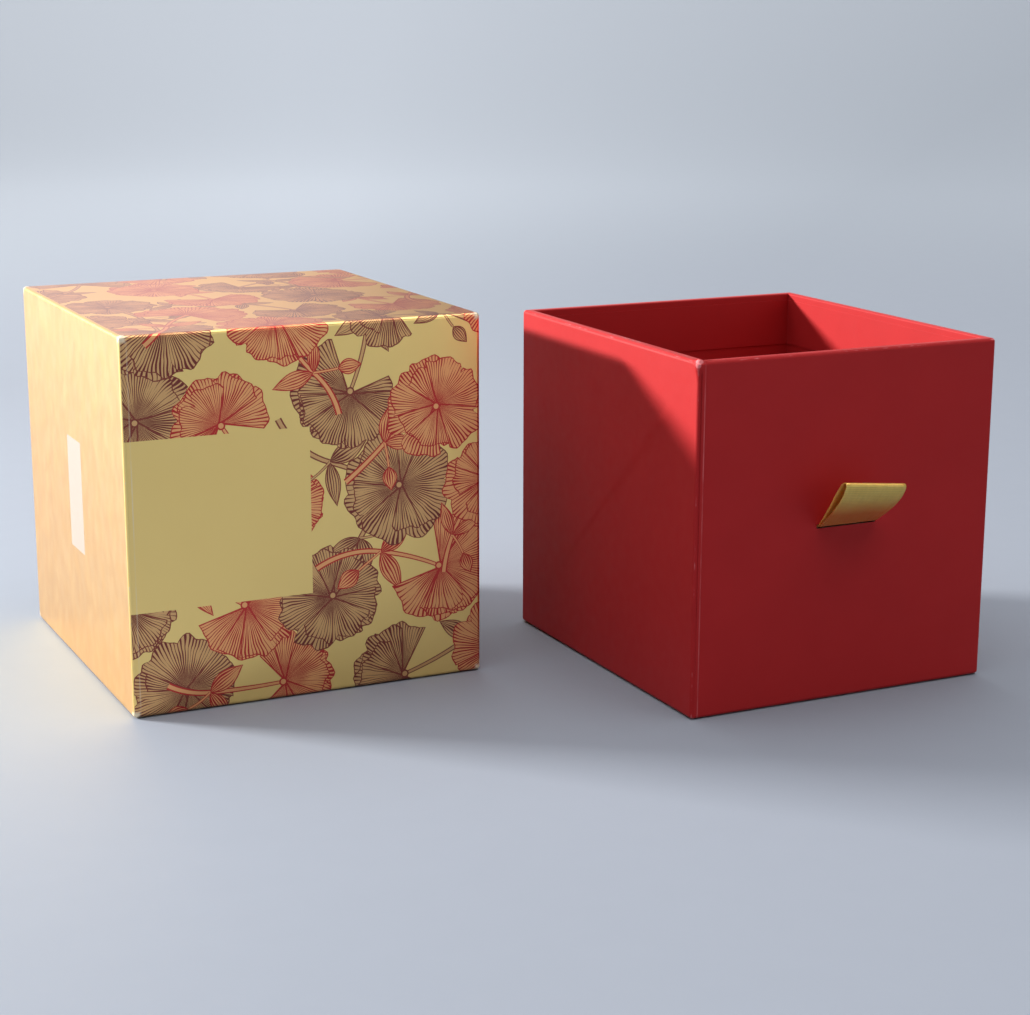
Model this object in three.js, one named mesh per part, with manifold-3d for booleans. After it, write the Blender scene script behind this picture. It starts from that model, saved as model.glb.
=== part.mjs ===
// A rigid drawer box for a candle: a foil-papered sleeve, closed at its front end and open at the back,
// and the red tray that slides in it, drawn right out and stood on the table beside the sleeve.
// Millimetres. X runs across the front, Y to the back and Z up.
// The origin is the centre of the sleeve's underside.

import * as THREE from 'three';
import { RoundedBoxGeometry } from 'three/addons/geometries/RoundedBoxGeometry.js';
import { mergeVertices } from 'three/addons/utils/BufferGeometryUtils.js';
import Module from 'manifold-3d';

const wasm = await Module();
wasm.setup();

// Driving dimensions: the sleeve, the stock that both boxes are made of, and the fit of the drawer
const sleeveWidth = 98.6;
const sleeveDepth = 103.4;
const sleeveHeight = 100;
const boardThickness = 2;
const paperThickness = 0.2;
const tapeThickness = 0.15;
const liningThickness = 0.15;
const sideClearance = 0.75;
const topClearance = 0.55;
const endClearance = 0.3;

// Where the drawer stands: the table between the two boxes, and how far its front is ahead of the sleeve's
const drawerGap = 31.25;
const drawerLead = 62;

// Paper work: the fold at every outer edge, and how far each margin is turned
const foldRadius = 1;
const cornerEase = 0.1;
const mouthTurnIn = 18;
const rimTurnIn = 15;
const underMargin = 12;
const liningSetback = 2;
const lapEase = 0.3;
const sheetInset = 1.5;
const tapeLeg = 12;
const tapeEndSetback = 3;

// Ribbon pull: a folded length of satin ribbon, both ends through one slit and glued behind the front board
const ribbonWidth = 18;
const ribbonThickness = 0.35;
const slitLevel = 47.85;
const slitSideEase = 0.4;
const slitHeight = 1.5;
const loopLength = 18.2;
const loopSpread = 2.6;
const loopLeanDegrees = 46;
const tailLength = 15;
const tailBendRadius = 0.3;
const tailEase = 0.3;
const pocketEase = 0.1;
const padMargin = 1.5;

// Cutting overrun and the number of facets in a fold, a bend and the ribbon loop
const overrun = 5;
const foldSteps = 3;
const bendSteps = 4;
const loopSteps = 36;
const loopRootSteps = 3;

// The centre line of the loop, from the slit along its lower ply, round the fold and back along its upper ply:
// shares of the loop's length and of its spread
const loopShares = [
  [0, 0.07],
  [0.13, 0.27],
  [0.32, 0.53],
  [0.52, 0.66],
  [0.72, 0.64],
  [0.88, 0.43],
  [0.975, 0.12],
  [0.985, -0.2],
  [0.93, -0.42],
  [0.84, -0.45],
  [0.64, -0.27],
  [0.45, -0.12],
  [0.16, -0.08],
  [0, -0.07],
];

// Layers of one wall, from the outside in
const skinDepth = paperThickness + tapeThickness;
const boardDepth = skinDepth + boardThickness;
const turnInDepth = boardDepth + paperThickness;
const mouthWallDepth = turnInDepth + liningThickness;
const roomRadius = foldRadius - paperThickness;

// The drawer's outside, from the room that the sleeve leaves it
const sleeveEndDepth = boardDepth + liningThickness;
const drawerWidth = sleeveWidth - 2 * (mouthWallDepth + sideClearance);
const drawerHeight = sleeveHeight - paperThickness - 2 * mouthWallDepth - topClearance;
const drawerDepth = sleeveDepth - sleeveEndDepth - endClearance;

const wrapPaper = () => new THREE.MeshStandardMaterial({ color: 0xb9a566, roughness: 0.42, metalness: 0.45 });
const redPaper = () => new THREE.MeshStandardMaterial({ color: 0xa3151b, roughness: 0.55, metalness: 0 });
const greyboard = () => new THREE.MeshStandardMaterial({ color: 0x9a9387, roughness: 0.95, metalness: 0 });
const kraftTape = () => new THREE.MeshStandardMaterial({ color: 0xb08d5f, roughness: 0.9, metalness: 0 });
const whitePaper = () => new THREE.MeshStandardMaterial({ color: 0xf0ece2, roughness: 0.8, metalness: 0 });
const satin = () => new THREE.MeshStandardMaterial({ color: 0x9c8444, roughness: 0.38, metalness: 0.1 });

// A block of space is its low and high corners. shrink moves all six faces inwards by one amount.
const block = (low, high) => ({ low, high });
const shrink = ({ low, high }, by) => block(low.map((v) => v + by), high.map((v) => v - by));

// withFace sets one face of a block: side is 'low' or 'high', axis is 0, 1 or 2
function withFace(space, side, axis, value) {
  const moved = block([...space.low], [...space.high]);
  moved[side][axis] = value;
  return moved;
}

function toSolid(geometry) {
  const bare = geometry.clone();
  bare.deleteAttribute('normal');
  bare.deleteAttribute('uv');
  const merged = mergeVertices(bare);
  const vertProperties = new Float32Array(merged.attributes.position.array);
  const triVerts = new Uint32Array(merged.index.array);
  return new wasm.Manifold(new wasm.Mesh({ numProp: 3, vertProperties, triVerts }));
}

function toGeometry(solid) {
  const { vertProperties, triVerts } = solid.getMesh();
  const geometry = new THREE.BufferGeometry();
  geometry.setAttribute('position', new THREE.BufferAttribute(vertProperties, 3));
  geometry.setIndex(new THREE.BufferAttribute(triVerts, 1));
  geometry.computeVertexNormals();
  return geometry;
}

// A square-edged block whose faces lie exactly on the given planes, so that neighbours meet face to face
function slab({ low, high }) {
  const box = new THREE.BoxGeometry(1, 1, 1);
  const place = box.attributes.position;
  for (let i = 0; i < place.count; i += 1) {
    const corner = [place.getX(i), place.getY(i), place.getZ(i)];
    const [x, y, z] = corner.map((v, axis) => (v < 0 ? low[axis] : high[axis]));
    place.setXYZ(i, x, y, z);
  }
  return toSolid(box);
}

function roundBlock({ low, high }, radius) {
  const size = high.map((v, axis) => v - low[axis]);
  const middle = high.map((v, axis) => (v + low[axis]) / 2);
  const box = new RoundedBoxGeometry(...size, foldSteps, radius);
  box.translate(...middle);
  return toSolid(box);
}

function part(name, solid, material) {
  const mesh = new THREE.Mesh(toGeometry(solid), material);
  mesh.name = name;
  return mesh;
}

// Boards are cut to butt against each other inside one envelope, whose edges follow the folds of the wrap
function board(name, outside, space) {
  const envelope = roundBlock(shrink(outside, skinDepth), roomRadius);
  return part(name, envelope.intersect(slab(space)), greyboard());
}

// A corner stay is a strip of gummed tape folded over the joint of two boards, along the axis `along`
function cornerStay(name, outside, along, signs) {
  const room = shrink(outside, paperThickness);
  let strip = shrink(outside, -overrun);
  signs.forEach((sign, axis) => {
    if (axis === along) {
      return;
    }
    if (sign > 0) {
      strip = withFace(strip, 'low', axis, room.high[axis] - tapeLeg);
    } else {
      strip = withFace(strip, 'high', axis, room.low[axis] + tapeLeg);
    }
  });
  strip = withFace(strip, 'low', along, outside.low[along] + tapeEndSetback);
  strip = withFace(strip, 'high', along, outside.high[along] - tapeEndSetback);
  const tapeOutside = roundBlock(room, roomRadius + cornerEase);
  const tapeInside = roundBlock(shrink(outside, skinDepth), roomRadius - tapeThickness);
  return part(name, tapeOutside.intersect(slab(strip)).subtract(tapeInside), kraftTape());
}

// A wrap covers every outer face of its box, turns over the edge of the open face and runs in along the boards
function paperWrap(outside, openAxis, turnIn) {
  const mouth = outside.high[openAxis];
  const skin = roundBlock(outside, foldRadius).subtract(roundBlock(shrink(outside, paperThickness), roomRadius));
  let flap = shrink(outside, boardDepth);
  flap = withFace(flap, 'low', openAxis, mouth - turnIn);
  flap = withFace(flap, 'high', openAxis, mouth - paperThickness / 2);
  let hollow = shrink(outside, turnInDepth);
  hollow = withFace(hollow, 'low', openAxis, mouth - turnIn - overrun);
  hollow = withFace(hollow, 'high', openAxis, mouth + overrun);
  return skin.add(slab(flap)).subtract(slab(hollow));
}

// A lining papers the inner walls from the closed end to just short of the open face, and laps over the turn-in
function wallLining(outside, openAxis, turnIn) {
  const mouth = outside.high[openAxis];
  const closedEnd = outside.low[openAxis] + boardDepth;
  const step = mouth - turnIn - lapEase;
  const stretch = (depth, from, to) => {
    const tube = withFace(shrink(outside, depth), 'low', openAxis, from);
    return slab(withFace(tube, 'high', openAxis, to));
  };
  const outer = stretch(boardDepth, closedEnd, step).add(stretch(turnInDepth, closedEnd, mouth - liningSetback));
  const wide = stretch(boardDepth + liningThickness, closedEnd - overrun, step - liningThickness);
  const narrow = stretch(mouthWallDepth, closedEnd - overrun, mouth + overrun);
  return outer.subtract(wide).subtract(narrow);
}

// The sheet pasted under a box, set in a little from the folded edges: the box stands on it
function baseSheet(outside) {
  const { low, high } = shrink(outside, sheetInset);
  return slab(block([low[0], low[1], 0], [high[0], high[1], paperThickness]));
}

const halfSleeve = [sleeveWidth / 2, sleeveDepth / 2];
const sleeveOutside = block(
  [-halfSleeve[0], -halfSleeve[1], paperThickness],
  [halfSleeve[0], halfSleeve[1], sleeveHeight],
);

const halfDrawer = [drawerWidth / 2, drawerDepth / 2];
const drawerOutside = block(
  [-halfDrawer[0], -halfDrawer[1], paperThickness],
  [halfDrawer[0], halfDrawer[1], drawerHeight],
);

// Sleeve: five boards, taped along the four long edges, one printed wrap, a lining and a base sheet
function sleeveBoards() {
  const room = shrink(sleeveOutside, skinDepth);
  const inner = shrink(sleeveOutside, boardDepth);
  const tube = withFace(room, 'low', 1, inner.low[1]);
  const between = withFace(withFace(tube, 'low', 2, inner.low[2]), 'high', 2, inner.high[2]);
  return [
    board('sleeve_end_board', sleeveOutside, withFace(room, 'high', 1, inner.low[1])),
    board('sleeve_top_board', sleeveOutside, withFace(tube, 'low', 2, inner.high[2])),
    board('sleeve_base_board', sleeveOutside, withFace(tube, 'high', 2, inner.low[2])),
    board('sleeve_left_board', sleeveOutside, withFace(between, 'high', 0, inner.low[0])),
    board('sleeve_right_board', sleeveOutside, withFace(between, 'low', 0, inner.high[0])),
  ];
}

function sleeveEndLining() {
  const inner = shrink(sleeveOutside, boardDepth);
  const patch = shrink(sleeveOutside, boardDepth + liningThickness);
  const start = withFace(patch, 'low', 1, inner.low[1]);
  return slab(withFace(start, 'high', 1, inner.low[1] + liningThickness));
}

function makeSleeve() {
  const group = new THREE.Group();
  group.add(...sleeveBoards());
  for (const [level, up] of [['top', 1], ['base', -1]]) {
    for (const [side, right] of [['left', -1], ['right', 1]]) {
      group.add(cornerStay(`sleeve_stay_${level}_${side}`, sleeveOutside, 1, [right, 0, up]));
    }
  }
  group.add(part('sleeve_wrap', paperWrap(sleeveOutside, 1, mouthTurnIn), wrapPaper()));
  group.add(part('sleeve_base_sheet', baseSheet(sleeveOutside), wrapPaper()));
  group.add(part('sleeve_lining', wallLining(sleeveOutside, 1, mouthTurnIn), whitePaper()));
  group.add(part('sleeve_end_lining', sleeveEndLining(), whitePaper()));
  return group;
}

// Drawer: the same stock, open at the top. The slit for the ribbon goes through the front wrap and board.
const drawerFront = drawerOutside.low[1];
const tailFace = drawerFront + boardDepth;
const slitHalfWidth = ribbonWidth / 2 + slitSideEase;

function slitCutter() {
  return slab(block(
    [-slitHalfWidth, drawerFront - overrun, slitLevel - slitHeight / 2],
    [slitHalfWidth, tailFace + overrun, slitLevel + slitHeight / 2],
  ));
}

function drawerBoards() {
  const room = shrink(drawerOutside, skinDepth);
  const inner = shrink(drawerOutside, boardDepth);
  const walls = withFace(room, 'low', 2, inner.low[2]);
  const between = withFace(withFace(walls, 'low', 1, inner.low[1]), 'high', 1, inner.high[1]);
  const envelope = roundBlock(room, roomRadius);
  const frontSpace = slab(withFace(walls, 'high', 1, inner.low[1]));
  return [
    board('drawer_base_board', drawerOutside, withFace(room, 'high', 2, inner.low[2])),
    part('drawer_front_board', envelope.intersect(frontSpace).subtract(slitCutter()), greyboard()),
    board('drawer_back_board', drawerOutside, withFace(walls, 'low', 1, inner.high[1])),
    board('drawer_left_board', drawerOutside, withFace(between, 'high', 0, inner.low[0])),
    board('drawer_right_board', drawerOutside, withFace(between, 'low', 0, inner.high[0])),
  ];
}

// The wrap is left open under the base, apart from the margins that are turned under the base board
function drawerWrap() {
  const opening = shrink(drawerOutside, underMargin);
  const under = block(
    [opening.low[0], opening.low[1], -overrun],
    [opening.high[0], opening.high[1], drawerOutside.low[2] + skinDepth],
  );
  return paperWrap(drawerOutside, 2, rimTurnIn).subtract(slab(under)).subtract(slitCutter());
}

// Behind the front board the lining stands off in a shallow pad, with the ribbon's tails in a pocket under it
function drawerLining() {
  const reach = tailLength + tailEase;
  const pocketDepth = ribbonThickness + pocketEase;
  const around = (side, depth) => slab(block(
    [-ribbonWidth / 2 - side, tailFace, slitLevel - reach - side],
    [ribbonWidth / 2 + side, tailFace + depth, slitLevel + reach + side],
  ));
  const pad = around(tailEase + padMargin, pocketDepth + liningThickness);
  return wallLining(drawerOutside, 2, rimTurnIn).add(pad).subtract(around(tailEase, pocketDepth));
}

function drawerFloorLining() {
  const inner = shrink(drawerOutside, boardDepth);
  const patch = withFace(shrink(inner, liningThickness), 'low', 2, inner.low[2]);
  const clearOfPad = withFace(patch, 'high', 2, inner.low[2] + liningThickness);
  return slab(clearOfPad);
}

function makeDrawer() {
  const group = new THREE.Group();
  group.add(...drawerBoards());
  for (const [end, back] of [['front', -1], ['back', 1]]) {
    for (const [side, right] of [['left', -1], ['right', 1]]) {
      group.add(cornerStay(`drawer_stay_${end}_${side}`, drawerOutside, 2, [right, back, 0]));
    }
  }
  group.add(part('drawer_wrap', drawerWrap(), redPaper()));
  group.add(part('drawer_base_sheet', baseSheet(drawerOutside), redPaper()));
  group.add(part('drawer_lining', drawerLining(), redPaper()));
  group.add(part('drawer_floor_lining', drawerFloorLining(), redPaper()));
  return group;
}

// A ribbon piece is its side view, drawn in Y and Z, carried across the ribbon's width along X
function acrossRibbon(shape) {
  const geometry = new THREE.ExtrudeGeometry(shape, {
    depth: ribbonWidth,
    bevelEnabled: false,
    curveSegments: bendSteps,
  });
  geometry.applyMatrix4(new THREE.Matrix4().makeBasis(
    new THREE.Vector3(0, 1, 0),
    new THREE.Vector3(0, 0, 1),
    new THREE.Vector3(1, 0, 0),
  ));
  geometry.translate(-ribbonWidth / 2, 0, 0);
  return toSolid(geometry);
}

// The tails: both plies together through the slit, then one up and one down the inner face of the board
function ribbonTails() {
  const t = ribbonThickness;
  const r = tailBendRadius;
  const front = drawerFront + tailEase;
  const back = tailFace + t;
  const shape = new THREE.Shape();
  shape.moveTo(front, slitLevel - t);
  shape.lineTo(tailFace - r, slitLevel - t);
  shape.absarc(tailFace - r, slitLevel - t - r, r, Math.PI / 2, 0, true);
  shape.lineTo(tailFace, slitLevel - tailLength);
  shape.lineTo(back, slitLevel - tailLength);
  shape.lineTo(back, slitLevel + tailLength);
  shape.lineTo(tailFace, slitLevel + tailLength);
  shape.absarc(tailFace - r, slitLevel + t + r, r, 0, -Math.PI / 2, true);
  shape.lineTo(front, slitLevel + t);
  return acrossRibbon(shape);
}

// The loop hangs on its root, a rounded neck of two plies that turns in the mouth of the slit
function ribbonLoop() {
  const root = new THREE.Vector2(drawerFront - ribbonThickness, slitLevel);
  const lean = THREE.MathUtils.degToRad(loopLeanDegrees);
  const along = new THREE.Vector2(-Math.cos(lean), Math.sin(lean));
  const aside = new THREE.Vector2(-Math.sin(lean), -Math.cos(lean));
  const place = ([length, spread]) => root.clone()
    .addScaledVector(along, length * loopLength)
    .addScaledVector(aside, spread * loopSpread);
  const centreLine = new THREE.SplineCurve(loopShares.map(place));
  const offset = (step, distance) => {
    const at = centreLine.getPoint(step / loopSteps);
    const tangent = centreLine.getTangent(step / loopSteps);
    return new THREE.Vector2(at.x - tangent.y * distance, at.y + tangent.x * distance);
  };
  const halfPly = ribbonThickness / 2;
  const outline = [];
  const hollow = [];
  for (let step = 0; step <= loopSteps; step += 1) {
    outline.push(offset(step, halfPly));
    if (step >= loopRootSteps && step <= loopSteps - loopRootSteps) {
      hollow.push(offset(step, -halfPly));
    }
  }
  for (let step = 1; step < bendSteps; step += 1) {
    const turn = Math.PI * step / bendSteps;
    outline.push(root.clone()
      .addScaledVector(aside, -Math.cos(turn) * ribbonThickness)
      .addScaledVector(along, -Math.sin(turn) * ribbonThickness));
  }
  const shape = new THREE.Shape(outline);
  shape.holes.push(new THREE.Path(hollow.reverse()));
  return acrossRibbon(shape);
}

const candleBox = new THREE.Group();
candleBox.add(makeSleeve());

const drawer = makeDrawer();
drawer.add(part('ribbon_tails', ribbonTails(), satin()));
drawer.add(part('ribbon_loop', ribbonLoop(), satin()));
drawer.position.set(
  halfSleeve[0] + drawerGap + halfDrawer[0],
  -halfSleeve[1] - drawerLead + halfDrawer[1],
  0,
);
candleBox.add(drawer);

export default candleBox;
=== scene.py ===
import math
import random

import bmesh
import bpy
import numpy as np
from mathutils import Matrix, Vector
from mathutils.geometry import delaunay_2d_cdt


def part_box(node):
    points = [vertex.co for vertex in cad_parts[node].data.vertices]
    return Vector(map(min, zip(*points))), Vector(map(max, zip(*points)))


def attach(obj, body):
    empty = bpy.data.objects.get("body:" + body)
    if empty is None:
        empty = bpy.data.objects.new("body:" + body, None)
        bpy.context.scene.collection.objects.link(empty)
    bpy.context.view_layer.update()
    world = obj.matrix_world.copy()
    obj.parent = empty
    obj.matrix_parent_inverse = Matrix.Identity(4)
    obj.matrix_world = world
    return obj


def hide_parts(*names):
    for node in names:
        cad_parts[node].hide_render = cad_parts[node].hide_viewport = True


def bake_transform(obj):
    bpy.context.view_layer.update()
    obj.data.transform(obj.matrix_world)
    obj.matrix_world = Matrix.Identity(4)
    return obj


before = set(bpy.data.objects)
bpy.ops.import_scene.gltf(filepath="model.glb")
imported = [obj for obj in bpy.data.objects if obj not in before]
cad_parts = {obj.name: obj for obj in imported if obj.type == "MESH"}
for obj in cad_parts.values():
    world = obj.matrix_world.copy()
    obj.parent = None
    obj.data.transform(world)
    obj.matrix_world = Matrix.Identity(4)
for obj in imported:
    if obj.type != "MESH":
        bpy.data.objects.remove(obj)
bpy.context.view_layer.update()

# Camera. It stands to the left of the boxes and a little above them, as in the photograph.
# Its place, aim and focal length were fitted to the corners of both boxes there.
MM = 0.001
photo_width_px = 1030
focal_length_px = 2132.2
sensor_width_mm = 36
camera_place = Vector((-186.9, -565.9, 182.04)) * MM
camera_heading = math.radians(25.627)
camera_pitch = math.radians(13.475)
camera_roll = math.radians(0.131)
view_reach = 400

camera_data = bpy.data.cameras.new("camera")
camera_data.sensor_fit = "HORIZONTAL"
camera_data.sensor_width = sensor_width_mm
camera_data.lens = focal_length_px * sensor_width_mm / photo_width_px
camera_data.clip_end = view_reach
camera = bpy.data.objects.new("camera", camera_data)
camera.matrix_world = (
    Matrix.Translation(camera_place)
    @ Matrix.Rotation(-camera_heading, 4, "Z")
    @ Matrix.Rotation(math.radians(90) - camera_pitch, 4, "X")
    @ Matrix.Rotation(camera_roll, 4, "Z")
)
bpy.context.scene.collection.objects.link(camera)
bpy.context.scene.camera = camera
bpy.context.scene.view_settings.view_transform = "Standard"

# Light. A low strip light, a metre off behind the left, throws the sleeve's shadow across the tray.
# Wide soft lights hang overhead and stand low in front on the right, with a faint one behind.
# The room fills the rest: it is dim in front of the boxes and paler towards the backdrop.
key_place = Vector((-870, 680, 435)) * MM
key_direction = Vector((1, -0.6, -0.38))
key_width = 270 * MM
key_height = 50 * MM
key_watts = 39.5
overhead_direction = Vector((0.06, -0.05, -0.99))
overhead_strength = 3.2
overhead_spread = math.radians(90)
side_direction = Vector((-0.6, 0.8, -0.2))
side_strength = 0.6
side_spread = math.radians(45)
back_direction = Vector((-0.03, -0.95, -0.31))
back_strength = 0.27
back_spread = math.radians(40)
towards_backdrop = (-0.66, 0.75, 0)
room_turn = (-0.5, 0.8)
dim_room_colour = (0.05, 0.0515, 0.054, 1)
backdrop_glow_colour = (0.34, 0.35, 0.366, 1)


def hang_lamp(name, kind, watts, direction, place=(0, 0, 0), **settings):
    data = bpy.data.lights.new(name, kind)
    data.energy = watts
    for setting, value in settings.items():
        setattr(data, setting, value)
    lamp = bpy.data.objects.new(name, data)
    lamp.location = place
    lamp.rotation_euler = direction.to_track_quat("-Z", "Y").to_euler()
    lamp.visible_camera = False
    bpy.context.scene.collection.objects.link(lamp)


hang_lamp("key_light", "AREA", key_watts, key_direction, key_place, shape="RECTANGLE",
          size=key_width, size_y=key_height, color=(1, 0.985, 0.95))
hang_lamp("overhead_light", "SUN", overhead_strength, overhead_direction, angle=overhead_spread)
hang_lamp("side_light", "SUN", side_strength, side_direction, angle=side_spread)
hang_lamp("back_light", "SUN", back_strength, back_direction, angle=back_spread)


def add(tree, kind, inputs=None, **settings):
    """A new node in a material, with its settings made and its inputs filled or linked."""
    node = tree.nodes.new("ShaderNode" + kind)
    for name, value in settings.items():
        setattr(node, name, value)
    for name, value in (inputs or {}).items():
        if isinstance(value, bpy.types.NodeSocket):
            tree.links.new(value, node.inputs[name])
        else:
            node.inputs[name].default_value = value
    return node


def blended(tree, share, first, second):
    """A colour between two others."""
    mix = add(tree, "Mix", {0: share, 6: first, 7: second}, data_type="RGBA")
    return mix.outputs[2]


def ranged(tree, value, low, high, to_low, to_high):
    """A value taken from one range to another, and held inside it."""
    places = {"Value": value, "From Min": low, "From Max": high, "To Min": to_low, "To Max": to_high}
    return add(tree, "MapRange", places).outputs["Result"]


def light_room(tree):
    """The room is dim in front of the boxes and paler towards the backdrop behind them."""
    facing = add(tree, "VectorMath", {0: add(tree, "TexCoord").outputs["Generated"], 1: towards_backdrop},
                 operation="DOT_PRODUCT").outputs["Value"]
    colour = blended(tree, ranged(tree, facing, *room_turn, 0, 1), dim_room_colour, backdrop_glow_colour)
    tree.links.new(colour, tree.nodes["Background"].inputs["Color"])


room = bpy.data.worlds.new("room")
room.use_nodes = True
bpy.context.scene.world = room
light_room(room.node_tree)

# Table. One wide sheet of pale blue-grey studio paper, which runs back past the edge of the picture.
# Its faint mottle is the tooth of the paper. Its colour holds painted light: it is painted paler away from
# the boxes, darker towards the far right and darker behind the boxes on the left.
table_reach = 300
table_colour = (134, 140, 151)
# Painted light on the paper: paler far from the boxes, darker to the far right, and darker behind the boxes
# on the left.
painted_far_light_colour = (179, 186, 196)
painted_far_right_shade_colour = (155, 162, 172)
backdrop_start, backdrop_end = 0.45, 1.6
boxes_middle = (0.05, 0, 0)
far_right_start, far_right_end = 0.38, 0.66
behind_left_slope = (0.36, 0.05)
behind_left_reach = (0.1, 0.45)
painted_shade_behind_left = (0.82, 0.82, 0.82, 1)


def on_piece(tree):
    """Where a point of the surface lies, in its object's own metres."""
    return add(tree, "TexCoord").outputs["Object"]


def parts_of(tree, vector):
    return add(tree, "SeparateXYZ", {0: vector}).outputs


def linear(red, green, blue):
    """An 8-bit screen colour as the linear colour that a shader takes."""
    shares = [channel / 255 for channel in (red, green, blue)]
    return tuple(((s + 0.055) / 1.055) ** 2.4 if s > 0.04 else s / 12.92 for s in shares) + (1,)


def calc(tree, operation, *values):
    """The result of one sum on node sockets and plain numbers."""
    return add(tree, "Math", dict(enumerate(values)), operation=operation).outputs[0]


def times(tree, first, second):
    return calc(tree, "MULTIPLY", first, second)


def multiplied(tree, share, first, second):
    """The first colour, taken down by the second as ink takes down the paper under it."""
    mix = add(tree, "Mix", {0: share, 6: first, 7: second}, data_type="RGBA", blend_type="MULTIPLY")
    return mix.outputs[2]


def grain(tree, scale, detail=3, stretch=(1, 1, 1), seed=(0, 0, 0)):
    """Noise on the object's own coordinates, with about `scale` marks a metre."""
    mapping = {"Vector": on_piece(tree), "Location": seed, "Scale": stretch}
    mapped = add(tree, "Mapping", mapping).outputs[0]
    return add(tree, "TexNoise", {"Vector": mapped, "Scale": scale, "Detail": detail}).outputs["Fac"]


def new_finish(name, **constants):
    """A material with one Principled shader, whose constant values go on its own sockets."""
    material = bpy.data.materials.new(name)
    material.use_nodes = True
    tree = material.node_tree
    shader = tree.nodes["Principled BSDF"]
    for socket, value in constants.items():
        shader.inputs[socket.replace("_", " ")].default_value = value
    return material, tree, shader


def studio_paper():
    material, tree, shader = new_finish("studio_paper", Roughness=0.7, Specular_IOR_Level=0.25)
    place = on_piece(tree)
    from_boxes = add(tree, "VectorMath", {0: place, 1: boxes_middle}, operation="DISTANCE").outputs["Value"]
    # Painted light: the paper is painted paler with distance from the boxes, and darker towards the far
    # right.
    backdrop = ranged(tree, from_boxes, backdrop_start, backdrop_end, 0, 1)
    backdrop.node.interpolation_type = "SMOOTHSTEP"
    away = add(tree, "VectorMath", {0: place}, operation="NORMALIZE").outputs[0]
    rightward = ranged(tree, parts_of(tree, away)[0], far_right_start, far_right_end, 0, 1)
    painted_far_tone = blended(tree, rightward, linear(*painted_far_light_colour), linear(*painted_far_right_shade_colour))
    tone = blended(tree, backdrop, linear(*table_colour), painted_far_tone)
    across, back = parts_of(tree, place)[:2]
    # Painted shade on the paper behind the boxes on the left.
    on_left = ranged(tree, calc(tree, "DIVIDE", across, back), *behind_left_slope, 0, 1)
    behind_left = times(tree, on_left, ranged(tree, back, *behind_left_reach, 0, 1))
    tone = multiplied(tree, behind_left, tone, painted_shade_behind_left)
    tooth = grain(tree, 90, detail=4)
    tree.links.new(multiplied(tree, tooth, tone, (0.97, 0.97, 0.97, 1)), shader.inputs["Base Color"])
    return material


def new_piece(name, bm, material):
    """A finished piece: its mesh holds its place, so its object sits at the origin."""
    mesh = bpy.data.meshes.new(name)
    bm.to_mesh(mesh)
    bm.free()
    mesh.materials.append(material)
    piece = bpy.data.objects.new(name, mesh)
    bpy.context.scene.collection.objects.link(piece)
    return piece


table_mesh = bmesh.new()
bmesh.ops.create_grid(table_mesh, x_segments=1, y_segments=1, size=table_reach)
new_piece("table", table_mesh, studio_paper())

# Boards. Both boxes are 2 mm greyboard, pressed from waste paper and cut to butt against each other.
# Its face shows short grey and brown fibres and dark flecks.


def raise_grain(tree, shader, height, distance, under=None):
    """Raises the surface by a height pattern, over an earlier one if there is one."""
    inputs = {"Height": height, "Distance": distance}
    if under is not None:
        inputs["Normal"] = under
    bump = add(tree, "Bump", inputs)
    tree.links.new(bump.outputs["Normal"], shader.inputs["Normal"])
    return bump.outputs["Normal"]


def dress(names, material):
    """Gives CAD pieces whose shape is right their finish."""
    for name in names:
        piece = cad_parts[name]
        piece.data.materials.clear()
        piece.data.materials.append(material)


def greyboard():
    material, tree, shader = new_finish("greyboard", Roughness=0.92, Specular_IOR_Level=0.2)
    fibres = grain(tree, 900, detail=5, stretch=(1, 1, 0.35))
    flecks = ranged(tree, grain(tree, 2400, detail=1, seed=(3, 1, 2)), 0.66, 0.72, 0, 1)
    pulp = blended(tree, fibres, linear(132, 126, 116), linear(176, 168, 154))
    tree.links.new(blended(tree, flecks, pulp, linear(92, 84, 76)), shader.inputs["Base Color"])
    raise_grain(tree, shader, fibres, 0.04 * MM)
    return material


board_names = [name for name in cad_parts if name.endswith("_board")]
dress(board_names, greyboard())


# Corner stays. Gummed kraft tape is folded over each joint between two boards and holds the box together.
# Its fibres run along the strip, with a faint rib across.
def kraft_tape():
    material, tree, shader = new_finish("kraft_tape", Roughness=0.8, Specular_IOR_Level=0.3)
    fibres = grain(tree, 700, detail=5, stretch=(1, 0.25, 0.25))
    ribs = grain(tree, 1500, detail=1, stretch=(0.1, 1, 1), seed=(5, 0, 0))
    tone = blended(tree, fibres, linear(150, 112, 70), linear(196, 158, 110))
    tree.links.new(tone, shader.inputs["Base Color"])
    raise_grain(tree, shader, ribs, 0.03 * MM)
    return material


stay_names = [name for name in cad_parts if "_stay_" in name]
dress(stay_names, kraft_tape())

# Sleeve wrap. One sheet of gold foil paper is glued over the closed end and the four long sides of the sleeve
# and turned in at the open mouth. It is printed in two transparent inks, red and plum, before it is folded,
# so the sprays of fan-shaped leaves are laid out here on the flat sheet and run on over the folds.
paper = 0.2
fold_radius = 1.0
fold_steps = 6
inner_fold_radius = 0.45
inner_fold_steps = 4


def outside_of(node):
    """The low and high corners of a wrapped box, in millimetres."""
    low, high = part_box(node)
    return low / MM, high / MM


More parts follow.
